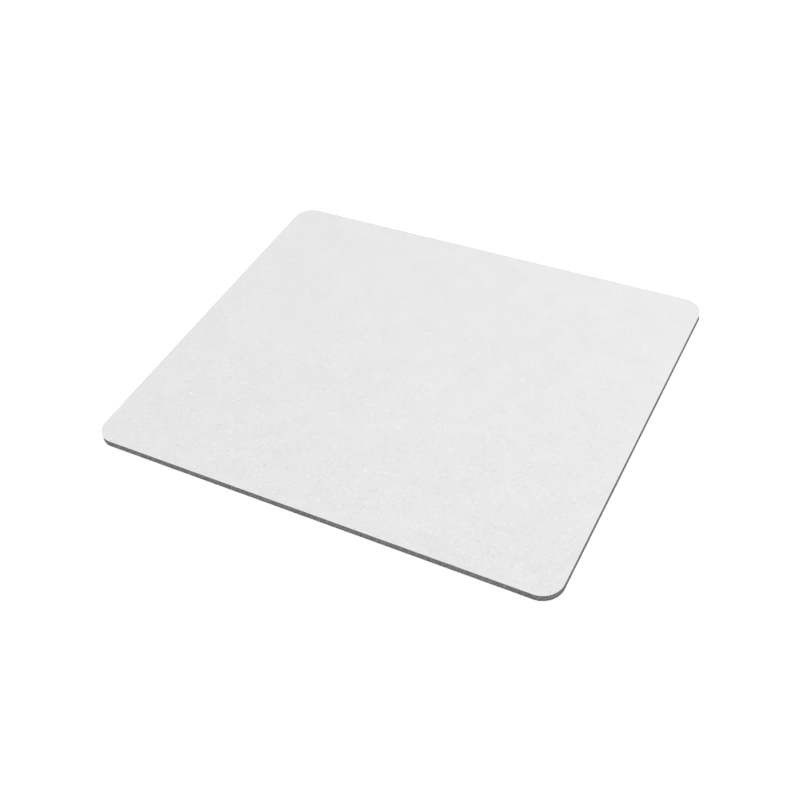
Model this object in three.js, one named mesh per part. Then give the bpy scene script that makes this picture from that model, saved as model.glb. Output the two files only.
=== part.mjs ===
// A mouse pad: a white cloth face bonded by a thin film to a grey foam rubber base.
// Millimetres, +Z up. The origin is on the underside, in the middle of the pad.
import * as THREE from "three";

// Driving dimensions
const padWidth = 240; // along X, the user's left to right
const padDepth = 200; // along Y, away from the user
const padThickness = 4;
const cornerRadius = 10;
const clothThickness = 0.375;
const filmThickness = 0.125;

// What the cutting die leaves on the edge
const edgeHollow = 0.2; // squeezed foam springs back hollow at mid-height
const clothRoll = 0.25; // radius that the blade presses on the cloth's upper edge

// Fineness of the curves
const cornerSteps = 16;
const hollowSteps = 8;
const rollSteps = 4;

// Heights of the faces between the layers
const clothUnderside = padThickness - clothThickness;
const filmUnderside = clothUnderside - filmThickness;

// The pad's outline, drawn in from the cut edge by inset: four corner arcs and the sides between them.
function padOutline(inset) {
  const radius = cornerRadius - inset;
  const reachX = padWidth / 2 - cornerRadius;
  const reachY = padDepth / 2 - cornerRadius;
  const corners = [
    [reachX, -reachY],
    [reachX, reachY],
    [-reachX, reachY],
    [-reachX, -reachY],
  ];
  const outline = new THREE.Path();
  corners.forEach(([x, y], corner) => {
    const start = (corner - 1) * (Math.PI / 2);
    outline.absarc(x, y, radius, start, start + Math.PI / 2);
  });
  return outline.getPoints(cornerSteps / 2);
}

// A closed layer: the outline carried up a profile of [inset, height] pairs, with a flat face at each end.
function layerGeometry(profile) {
  const rings = profile.map(([inset]) => padOutline(inset));
  const ringLength = rings[0].length;
  const positions = rings.flatMap((ring, level) => {
    const height = profile[level][1];
    return ring.flatMap((point) => [point.x, point.y, height]);
  });

  const triangles = [];
  for (let level = 0; level < rings.length - 1; level++) {
    for (let step = 0; step < ringLength; step++) {
      const here = level * ringLength + step;
      const beside = level * ringLength + ((step + 1) % ringLength);
      triangles.push(here, beside, beside + ringLength);
      triangles.push(here, beside + ringLength, here + ringLength);
    }
  }
  for (const [a, b, c] of THREE.ShapeUtils.triangulateShape(rings[0], [])) {
    triangles.push(c, b, a);
  }
  const topStart = (rings.length - 1) * ringLength;
  for (const [a, b, c] of THREE.ShapeUtils.triangulateShape(rings.at(-1), [])) {
    triangles.push(topStart + a, topStart + b, topStart + c);
  }

  const geometry = new THREE.BufferGeometry();
  geometry.setAttribute("position", new THREE.Float32BufferAttribute(positions, 3));
  geometry.setIndex(triangles);
  geometry.computeVertexNormals();
  return geometry;
}

// The foam's side is hollow between its two full-width edges.
function foamProfile() {
  const profile = [];
  for (let step = 0; step <= hollowSteps; step++) {
    const rise = step / hollowSteps;
    profile.push([edgeHollow * Math.sin(Math.PI * rise), filmUnderside * rise]);
  }
  return profile;
}

function filmProfile() {
  return [
    [0, filmUnderside],
    [0, clothUnderside],
  ];
}

// The cloth's side stands straight and then rolls over onto its top face.
function clothProfile() {
  const profile = [[0, clothUnderside]];
  for (let step = 0; step <= rollSteps; step++) {
    const turn = (Math.PI / 2) * (step / rollSteps);
    const inset = clothRoll * (1 - Math.cos(turn));
    const height = padThickness - clothRoll * (1 - Math.sin(turn));
    profile.push([inset, height]);
  }
  return profile;
}

function foamRubberBase() {
  const foamRubber = new THREE.MeshStandardMaterial({
    color: 0x6e6e6e,
    roughness: 0.95,
    metalness: 0,
  });
  return new THREE.Mesh(layerGeometry(foamProfile()), foamRubber);
}

function bondingFilm() {
  const hotMeltFilm = new THREE.MeshStandardMaterial({
    color: 0xa8a8a4,
    roughness: 0.5,
    metalness: 0,
  });
  return new THREE.Mesh(layerGeometry(filmProfile()), hotMeltFilm);
}

function clothFace() {
  const polyesterCloth = new THREE.MeshStandardMaterial({
    color: 0xe9e9e9,
    roughness: 0.9,
    metalness: 0,
  });
  return new THREE.Mesh(layerGeometry(clothProfile()), polyesterCloth);
}

const layers = {
  foam_rubber_base: foamRubberBase(),
  bonding_film: bondingFilm(),
  cloth_face: clothFace(),
};

const mousePad = new THREE.Group();
for (const [name, layer] of Object.entries(layers)) {
  layer.name = name;
  mousePad.add(layer);
}

export default mousePad;
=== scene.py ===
# A mouse pad: white cloth bonded by a thin film to a grey foam rubber base.
# Everything is in metres, in the frame of the CAD model: +X to the user's right, +Y away, +Z up.
from math import copysign, cos, pi, radians, sin, sqrt

import bmesh
import bpy
from mathutils import Matrix, Vector, noise


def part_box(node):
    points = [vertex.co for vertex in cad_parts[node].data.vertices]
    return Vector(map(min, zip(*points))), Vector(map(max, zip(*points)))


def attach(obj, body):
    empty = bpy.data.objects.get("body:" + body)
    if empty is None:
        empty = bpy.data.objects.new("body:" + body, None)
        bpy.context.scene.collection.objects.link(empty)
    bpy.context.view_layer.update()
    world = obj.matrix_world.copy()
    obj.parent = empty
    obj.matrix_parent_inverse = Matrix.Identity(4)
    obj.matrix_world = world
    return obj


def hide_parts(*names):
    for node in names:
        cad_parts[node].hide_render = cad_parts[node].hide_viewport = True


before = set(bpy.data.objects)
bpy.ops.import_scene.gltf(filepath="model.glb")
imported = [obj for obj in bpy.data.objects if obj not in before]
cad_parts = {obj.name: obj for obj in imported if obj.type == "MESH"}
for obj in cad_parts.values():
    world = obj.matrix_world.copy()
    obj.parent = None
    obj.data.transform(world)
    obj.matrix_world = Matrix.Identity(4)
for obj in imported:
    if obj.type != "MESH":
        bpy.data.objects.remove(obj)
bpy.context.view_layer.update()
mm = 0.001


# Camera
viewpoint = {
    "place": (0.2202, -0.3524, 0.3914),
    "aim": (0.0055, -0.0181, 0.0),
    "roll": -7.28,  # degrees; the photograph leans to the right
    "lens": 51.43,
}


def setCamera():
    camera = bpy.data.objects.new("camera", bpy.data.cameras.new("camera"))
    bpy.context.scene.collection.objects.link(camera)
    bpy.context.scene.camera = camera
    camera.data.lens = viewpoint["lens"]
    place = Vector(viewpoint["place"])
    level = (Vector(viewpoint["aim"]) - place).to_track_quat("-Z", "Y").to_matrix().to_4x4()
    roll = Matrix.Rotation(radians(viewpoint["roll"]), 4, "Z")
    camera.matrix_world = Matrix.Translation(place) @ level @ roll


setCamera()
print("camera set")


# Colours and nodes

# An sRGB hex colour as the linear values that a shader takes.
def linearColour(hexColour):
    channels = [int(hexColour[i:i + 2], 16) / 255 for i in (0, 2, 4)]
    return [c / 12.92 if c <= 0.04045 else ((c + 0.055) / 1.055) ** 2.4 for c in channels] + [1]


# Adds a node with its settings. An input is set to a value, or linked where it gets another node's output.
def addNode(tree, kind, settings=None, inputs=None):
    node = tree.nodes.new(kind)
    for name, value in (settings or {}).items():
        setattr(node, name, value)
    for name, value in (inputs or {}).items():
        if isinstance(value, bpy.types.NodeSocket):
            tree.links.new(value, node.inputs[name])
        else:
            node.inputs[name].default_value = value
    return node


def newMaterial(name):
    material = bpy.data.materials.new(name)
    material.use_nodes = True
    material.node_tree.nodes.clear()
    return material, material.node_tree


# The pad's outline, and how the die cuts it
outline = {
    "radius": 10 * mm,
    "cornerCuts": 24,
    "wobbleLength": 0.8 * mm,  # over this length the cut edge strays in and out
    "mergeWithin": 0.01 * mm,
    "tolerance": 1e-7,  # in metres
}
halfWidth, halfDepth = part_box("foam_rubber_base")[1][:2]


# Polyester knit, heat-set, uncoated and unprinted: matt white. Its stitches give a faint grain, with painted
# shade between them; its nap lies unevenly in soft patches; and loose fibres on it, with painted highlights
# and painted shade, make it look soft and dry, unlike paper or plastic.
cloth = {
    "light": "fbfbfb",
    "dark": "c7c7c7",
    "stitch": 1.0 * mm,  # really 0.4 mm, drawn coarser so that it shows
    "stitchDepth": 0.06 * mm,
    "stitchScatter": 0.25,
    "stitchCorner": 0.7,  # from a stitch's middle to its corner, in stitches
    # Painted shade between the stitches takes this share.
    "stitchShadeShare": 0.03,  # how much of the way from dark to light each part of the grain takes
    "yarn": 2.4 * mm,
    "yarnShare": 0.04,
    "nap": 14 * mm,
    "napShare": 0.14,
    "fibreWidth": 0.5 * mm,  # really 0.02 mm, drawn coarser so that they show
    "fibreLength": 1.6 * mm,
    "fibreSpacing": 0.9 * mm,
    "fibreWander": 5 * mm,
    "fibreWanderLength": 7 * mm,
    "fibreShareFront": 0.28,  # the hand rubs the nap up most along the front
    "fibreShareBack": 0.08,
    "flatBelow": 0.35,  # in the yarn's noise: no fibres show up to this, and all of them from the next
    "raisedAbove": 0.70,
    "edgeRoll": 0.25 * mm,
    "rollSteps": 5,
    "unevenness": 0.02 * mm,
    "cell": 2.5 * mm,
}


# Short fibres that lie loose, roughly along the knit's courses and wales. One that lies high is lighter than
# the knit around it, a painted highlight, and one that has sunk in is darker, a painted shade.
def looseFibreHighlightsAndShade(tree, at):
    wander = addNode(tree, "ShaderNodeTexNoise", {}, {"Vector": at, "Scale": 1 / cloth["fibreWanderLength"]})
    bent = addNode(tree, "ShaderNodeVectorMath", {"operation": "MULTIPLY_ADD"}, {
        0: wander.outputs["Color"], 1: (cloth["fibreWander"], cloth["fibreWander"], 0), 2: at})
    pitch = cloth["fibreSpacing"]
    stretchedPitch = pitch * cloth["fibreLength"] / cloth["fibreWidth"]
    total = 0.0
    for pitchX, pitchY in ((stretchedPitch, pitch), (pitch, stretchedPitch)):
        laid = addNode(tree, "ShaderNodeMapping", {}, {
            "Vector": bent.outputs["Vector"], "Scale": (1 / pitchX, 1 / pitchY, 1)})
        fibres = addNode(tree, "ShaderNodeTexVoronoi", {"voronoi_dimensions": "2D"}, {
            "Vector": laid.outputs["Vector"], "Scale": 1.0})
        spot = addNode(tree, "ShaderNodeMapRange", {"interpolation_type": "SMOOTHSTEP"}, {
            "Value": fibres.outputs["Distance"], "From Max": cloth["fibreWidth"] / pitch,
            "To Min": 1.0, "To Max": 0.0})
        kind = addNode(tree, "ShaderNodeSeparateColor", {}, {"Color": fibres.outputs["Color"]})
        # Painted highlight where a fibre lies high, painted shade where it has sunk in.
        fibreHighlightOrShade = addNode(tree, "ShaderNodeMapRange", {}, {
            "Value": kind.outputs["Red"], "To Min": -1.0, "To Max": 1.0})
        total = addNode(tree, "ShaderNodeMath", {"operation": "MULTIPLY_ADD"}, {
            0: spot.outputs["Result"], 1: fibreHighlightOrShade.outputs["Result"], 2: total}).outputs["Value"]
    return total


def polyesterKnit():
    material, tree = newMaterial("polyester_knit")
    at = addNode(tree, "ShaderNodeTexCoord").outputs["Object"]
    stitches = addNode(tree, "ShaderNodeTexVoronoi", {"voronoi_dimensions": "2D"}, {
        "Vector": at, "Scale": 1 / cloth["stitch"], "Randomness": cloth["stitchScatter"]})
    yarn = addNode(tree, "ShaderNodeTexNoise", {}, {
        "Vector": at, "Scale": 1 / cloth["yarn"], "Detail": 1.0, "Roughness": 1.0})
    nap = addNode(tree, "ShaderNodeTexNoise", {}, {
        "Vector": at, "Scale": 1 / cloth["nap"], "Detail": 1.0, "Roughness": 1.0})

    # The nap's tone lies about the middle one, by half its share either way, and the other parts add to it.
    napTone = addNode(tree, "ShaderNodeMapRange", {"clamp": False}, {
        "Value": nap.outputs["Fac"],
        "To Min": 0.5 - cloth["napShare"] / 2, "To Max": 0.5 + cloth["napShare"] / 2})
    yarnTone = addNode(tree, "ShaderNodeMapRange", {"clamp": False}, {
        "Value": yarn.outputs["Fac"], "To Min": -cloth["yarnShare"] / 2, "To Max": cloth["yarnShare"] / 2})
    # Painted shade: each stitch is darker toward its corners, where it meets the next.
    paintedStitchShade = addNode(tree, "ShaderNodeMapRange", {"clamp": False}, {
        "Value": stitches.outputs["Distance"], "From Max": cloth["stitchCorner"],
        "To Min": cloth["stitchShadeShare"] / 2, "To Max": -cloth["stitchShadeShare"] / 2})
    place = addNode(tree, "ShaderNodeSeparateXYZ", {}, {"Vector": at})
    rubbed = addNode(tree, "ShaderNodeMapRange", {}, {
        "Value": place.outputs["Y"], "From Min": -halfDepth, "From Max": halfDepth,
        "To Min": cloth["fibreShareFront"], "To Max": cloth["fibreShareBack"]})
    raised = addNode(tree, "ShaderNodeMapRange", {"interpolation_type": "SMOOTHSTEP"}, {
        "Value": yarn.outputs["Fac"], "From Min": cloth["flatBelow"], "From Max": cloth["raisedAbove"],
        "To Max": rubbed.outputs["Result"]})
    ground = addNode(tree, "ShaderNodeMath", {"operation": "ADD"}, {
        0: napTone.outputs["Result"], 1: yarnTone.outputs["Result"]})
    grain = addNode(tree, "ShaderNodeMath", {"operation": "ADD"}, {
        0: ground.outputs["Value"], 1: paintedStitchShade.outputs["Result"]})
    tone = addNode(tree, "ShaderNodeMath", {"operation": "MULTIPLY_ADD", "use_clamp": True}, {
        0: looseFibreHighlightsAndShade(tree, at), 1: raised.outputs["Result"], 2: grain.outputs["Value"]})
    shade = addNode(tree, "ShaderNodeMix", {"data_type": "RGBA"}, {
        0: tone.outputs["Value"], 6: linearColour(cloth["dark"]), 7: linearColour(cloth["light"])})
    relief = addNode(tree, "ShaderNodeBump", {"invert": True}, {
        "Strength": 0.4, "Distance": cloth["stitchDepth"], "Height": stitches.outputs["Distance"]})
    knit = addNode(tree, "ShaderNodeBsdfPrincipled", {}, {
        "Base Color": shade.outputs[2], "Roughness": 0.9, "Specular IOR Level": 0.3,
        "Sheen Weight": 0.15, "Sheen Roughness": 0.5, "Normal": relief.outputs["Normal"]})
    addNode(tree, "ShaderNodeOutputMaterial", {}, {"Surface": knit.outputs["BSDF"]})
    return material


# Hot-melt film, cut through with the cloth: a thin, slightly shiny line in the cut edge.
film = {
    "clear": "b4b4b0",
    "cloudy": "9c9c98",
    "clearRoughness": 0.35,
    "cloudyRoughness": 0.55,
    "clouds": 1.5 * mm,
}


def hotMeltFilm():
    material, tree = newMaterial("hot_melt_film")
    at = addNode(tree, "ShaderNodeTexCoord").outputs["Object"]
    clouds = addNode(tree, "ShaderNodeTexNoise", {}, {
        "Vector": at, "Scale": 1 / film["clouds"], "Detail": 3.0})
    shade = addNode(tree, "ShaderNodeMix", {"data_type": "RGBA"}, {
        0: clouds.outputs["Fac"], 6: linearColour(film["clear"]), 7: linearColour(film["cloudy"])})
    shine = addNode(tree, "ShaderNodeMapRange", {}, {
        "Value": clouds.outputs["Fac"], "To Min": film["clearRoughness"], "To Max": film["cloudyRoughness"]})
    melt = addNode(tree, "ShaderNodeBsdfPrincipled", {}, {
        "Base Color": shade.outputs[2], "Roughness": shine.outputs["Result"], "IOR": 1.5})
    addNode(tree, "ShaderNodeOutputMaterial", {}, {"Surface": melt.outputs["BSDF"]})
    return material


# Closed-cell foam rubber: dull mid grey. The cut edge shows the foam's cells as a fine speckle of painted
# shade in their pits, denser in some places than in others, and the underside keeps the closed skin of the
# press.
foam = {
    "light": "848484",
    "dark": "494949",
    "cells": 0.8 * mm,  # really 0.2 mm, drawn coarser so that they show
    # The cells' speckle is painted shade, darkest in each cell's pit.
    "cellShadeShare": 0.8,  # how much of the way from dark to light each part of the speckle takes
    "cellDepth": 0.08 * mm,
    "shadedPit": 0.15,  # in cells, from a cell's middle: darkest up to this, and lightest from the next
    "cellWall": 0.95,
    "mottle": 4 * mm,
    "mottleShare": 0.6,
    "skinLight": "666666",
    "skinDark": "585858",
    "skinLightRoughness": 0.8,
    "skinDarkRoughness": 0.6,
    "hollow": 0.2 * mm,
    "wallFoot": 0.4 * mm,  # above the grooves, where the cut edge is level again
    "wallSteps": 8,
    "tile": 2.5 * mm,
    "groove": 0.45 * mm,
    "tileHeight": 0.22 * mm,
    "unevenness": 0.03 * mm,
}


def cutFoamRubber():
    material, tree = newMaterial("cut_foam_rubber")
    at = addNode(tree, "ShaderNodeTexCoord").outputs["Object"]
    cells = addNode(tree, "ShaderNodeTexVoronoi", {}, {"Vector": at, "Scale": 1 / foam["cells"]})
    mottle = addNode(tree, "ShaderNodeTexNoise", {}, {
        "Vector": at, "Scale": 1 / foam["mottle"], "Detail": 3.0, "Roughness": 1.0})
    # Painted shade: each cell is darkest in its pit and lightest at its wall.
    cellPitShade = addNode(tree, "ShaderNodeMapRange", {}, {
        "Value": cells.outputs["Distance"], "From Min": foam["shadedPit"], "From Max": foam["cellWall"],
        "To Min": -foam["cellShadeShare"] / 2, "To Max": foam["cellShadeShare"] / 2})
    mottleTone = addNode(tree, "ShaderNodeMapRange", {"clamp": False}, {
        "Value": mottle.outputs["Fac"],
        "To Min": 0.5 - foam["mottleShare"] / 2, "To Max": 0.5 + foam["mottleShare"] / 2})
    tone = addNode(tree, "ShaderNodeMath", {"operation": "ADD", "use_clamp": True}, {
        0: cellPitShade.outputs["Result"], 1: mottleTone.outputs["Result"]})
    shade = addNode(tree, "ShaderNodeMix", {"data_type": "RGBA"}, {
        0: tone.outputs["Value"], 6: linearColour(foam["dark"]), 7: linearColour(foam["light"])})
    relief = addNode(tree, "ShaderNodeBump", {}, {
        "Strength": 0.5, "Distance": foam["cellDepth"], "Height": cells.outputs["Distance"]})
    rubber = addNode(tree, "ShaderNodeBsdfPrincipled", {}, {
        "Base Color": shade.outputs[2], "Roughness": 0.95, "IOR": 1.52, "Specular IOR Level": 0.25,
        "Normal": relief.outputs["Normal"]})
    addNode(tree, "ShaderNodeOutputMaterial", {}, {"Surface": rubber.outputs["BSDF"]})
    return material


def pressedRubberSkin():
    material, tree = newMaterial("pressed_rubber_skin")
    at = addNode(tree, "ShaderNodeTexCoord").outputs["Object"]
    mottle = addNode(tree, "ShaderNodeTexNoise", {}, {
        "Vector": at, "Scale": 1 / foam["tile"], "Detail": 4.0})
    shade = addNode(tree, "ShaderNodeMix", {"data_type": "RGBA"}, {
        0: mottle.outputs["Fac"], 6: linearColour(foam["skinDark"]), 7: linearColour(foam["skinLight"])})
    shine = addNode(tree, "ShaderNodeMapRange", {}, {
        "Value": mottle.outputs["Fac"],
        "To Min": foam["skinDarkRoughness"], "To Max": foam["skinLightRoughness"]})
    rubber = addNode(tree, "ShaderNodeBsdfPrincipled", {}, {
        "Base Color": shade.outputs[2], "Roughness": shine.outputs["Result"], "IOR": 1.52})
    addNode(tree, "ShaderNodeOutputMaterial", {}, {"Surface": rubber.outputs["BSDF"]})
    return material


# The nearest point of the rectangle that the four corner arcs turn about, and the way out from it.
def coreAndWayOut(point):
    reachX, reachY = halfWidth - outline["radius"], halfDepth - outline["radius"]
    core = Vector((max(-reachX, min(reachX, point.x)), max(-reachY, min(reachY, point.y)), 0))
    return core, (Vector((point.x, point.y, 0)) - core).normalized()


# Cuts a flat sheet to the outline, drawn in by inset: one straight cut at each turn of the way out. Points
# that the cuts leave side by side are merged, because they would give the wall thin slivers.
def dieCut(sheet, inset):
    for turn in range(4 * outline["cornerCuts"]):
        angle = turn * (pi / 2) / outline["cornerCuts"]
        wayOut = Vector((cos(angle), sin(angle), 0))
        corner = Vector((
            copysign(halfWidth - outline["radius"], wayOut.x),
            copysign(halfDepth - outline["radius"], wayOut.y), 0))
        bmesh.ops.bisect_plane(
            sheet, geom=sheet.verts[:] + sheet.edges[:] + sheet.faces[:], dist=outline["tolerance"],
            plane_co=corner + wayOut * (outline["radius"] - inset), plane_no=wayOut, clear_outer=True)
    bmesh.ops.remove_doubles(sheet, verts=sheet.verts, dist=outline["mergeWithin"])


def openRim(sheet):
    return [edge for edge in sheet.edges if edge.is_boundary]


# Carries a sheet's open rim along a profile of (inset, height) steps and closes it with a flat lid. The lid
# is cut into triangles here, so that those of no area can be taken out.
def carryRim(sheet, profile, unevenness, materialIndex):
    for inset, height in profile:
        before = set(sheet.faces)
        bmesh.ops.extrude_edge_only(sheet, edges=openRim(sheet))
        for face in set(sheet.faces) - before:
            face.material_index = materialIndex
            face.smooth = True
        for vert in {vert for edge in openRim(sheet) for vert in edge.verts}:
            core, wayOut = coreAndWayOut(vert.co)
            spot = Vector((vert.co.x, vert.co.y, height)) / outline["wobbleLength"]
            vert.co = core + wayOut * (outline["radius"] - inset + unevenness * noise.noise(spot))
            vert.co.z = height
    lid = bmesh.ops.contextual_create(sheet, geom=openRim(sheet))["faces"]
    bmesh.ops.triangulate(sheet, faces=lid, ngon_method="EAR_CLIP")
    bmesh.ops.dissolve_degenerate(sheet, dist=outline["tolerance"], edges=sheet.edges)
    bmesh.ops.recalc_face_normals(sheet, faces=sheet.faces)


def makePiece(name, sheet, materials):
    mesh = bpy.data.meshes.new(name)
    sheet.to_mesh(mesh)
    sheet.free()
    for material in materials:
        mesh.materials.append(material)
    piece = bpy.data.objects.new(name, mesh)
    bpy.context.scene.collection.objects.link(piece)
    return piece


# The cloth: a flat sheet whose cut edge rolls over.
def layCloth():
    low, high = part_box("cloth_face")
    sheet = bmesh.new()
    columns = round(2 * halfWidth / cloth["cell"])
    rows = round(2 * halfDepth / cloth["cell"])
    bmesh.ops.create_grid(sheet, x_segments=columns, y_segments=rows, size=1)
    bmesh.ops.scale(sheet, verts=sheet.verts, vec=(halfWidth, halfDepth, 1))
    dieCut(sheet, cloth["edgeRoll"])
    for vert in sheet.verts:
        vert.co.z = high.z
    profile = []
    for step in range(1, cloth["rollSteps"] + 1):
        turn = (pi / 2) * step / cloth["rollSteps"]
        profile.append((cloth["edgeRoll"] * (1 - sin(turn)), high.z - cloth["edgeRoll"] * (1 - cos(turn))))
    profile.append((0, low.z))
    carryRim(sheet, profile, cloth["unevenness"], 0)
    return makePiece("cloth_face_knit", sheet, [polyesterKnit()])


# The foam: a pressed underside of small raised diamonds, cut through by the die, and a wall up to the film.
def pressFoam():
    low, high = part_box("foam_rubber_base")
    sheet = bmesh.new()
    reach = (halfWidth + halfDepth) / sqrt(2)  # a square turned by 45 degrees covers the pad with this
    tiles = round(2 * reach / foam["tile"])
    bmesh.ops.create_grid(sheet, x_segments=tiles, y_segments=tiles, size=reach)
    bmesh.ops.rotate(sheet, verts=sheet.verts, cent=(0, 0, 0), matrix=Matrix.Rotation(pi / 4, 3, "Z"))
    bmesh.ops.translate(sheet, verts=sheet.verts, vec=(0, 0, low.z + foam["tileHeight"]))
    bmesh.ops.inset_individual(
        sheet, faces=sheet.faces, thickness=foam["groove"] / 2, depth=-foam["tileHeight"])
    dieCut(sheet, 0)
    profile = []
    for step in range(foam["wallSteps"] + 1):
        rise = step / foam["wallSteps"]
        height = foam["wallFoot"] + (high.z - foam["wallFoot"]) * rise
        profile.append((foam["hollow"] * sin(pi * rise), height))
    carryRim(sheet, profile, foam["unevenness"], 1)
    return makePiece("foam_rubber_relief", sheet, [pressedRubberSkin(), cutFoamRubber()])


clothPiece = layCloth()
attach(clothPiece, "root")
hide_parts("cloth_face")
print("cloth laid")

foamPiece = pressFoam()
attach(foamPiece, "root")
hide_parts("foam_rubber_base")
print("foam rubber pressed and cut")

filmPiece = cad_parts["bonding_film"]
filmPiece.data.materials.clear()
filmPiece.data.materials.append(hotMeltFilm())
print("film dressed")


# Studio
studio = {
    "sky": 1.0,
    "floorColour": "f2f2f2",
    "floorGlow": 0.45,
    "floorWidth": 8.0,
    "softbox": (0.25, 0.12, 0.30),  # low, to the right and behind, so that the tone falls off across the pad
    "softboxSize": 0.2,
    "softboxWatts": 0.12,
}


def setStudio():
    world = bpy.data.worlds.new("studio")
    bpy.context.scene.world = world
    world.use_nodes = True
    sky = world.node_tree.nodes["Background"]
    sky.inputs["Color"].default_value = (1, 1, 1, 1)
    sky.inputs["Strength"].default_value = studio["sky"]
    bpy.context.scene.view_settings.view_transform = "Standard"

    softbox = bpy.data.objects.new("softbox", bpy.data.lights.new("softbox", "AREA"))
    softbox.data.size = studio["softboxSize"]
    softbox.data.energy = studio["softboxWatts"]
    softbox.location = studio["softbox"]
    softbox.rotation_euler = (-softbox.location).to_track_quat("-Z", "Y").to_euler()
    softbox.visible_camera = False
    bpy.context.scene.collection.objects.link(softbox)

    # The floor is opal acrylic lit from below: an even white on which the pad throws no shadow.
    sheet = bmesh.new()
    bmesh.ops.create_grid(sheet, x_segments=1, y_segments=1, size=studio["floorWidth"] / 2)
    material, tree = newMaterial("opal_acrylic")
    opal = addNode(tree, "ShaderNodeBsdfPrincipled", {}, {
        "Base Color": linearColour(studio["floorColour"]), "Roughness": 0.8,
        "Emission Color": (1, 1, 1, 1), "Emission Strength": studio["floorGlow"]})
    addNode(tree, "ShaderNodeOutputMaterial", {}, {"Surface": opal.outputs["BSDF"]})
    floor = makePiece("floor", sheet, [material])


setStudio()
print("studio lit")
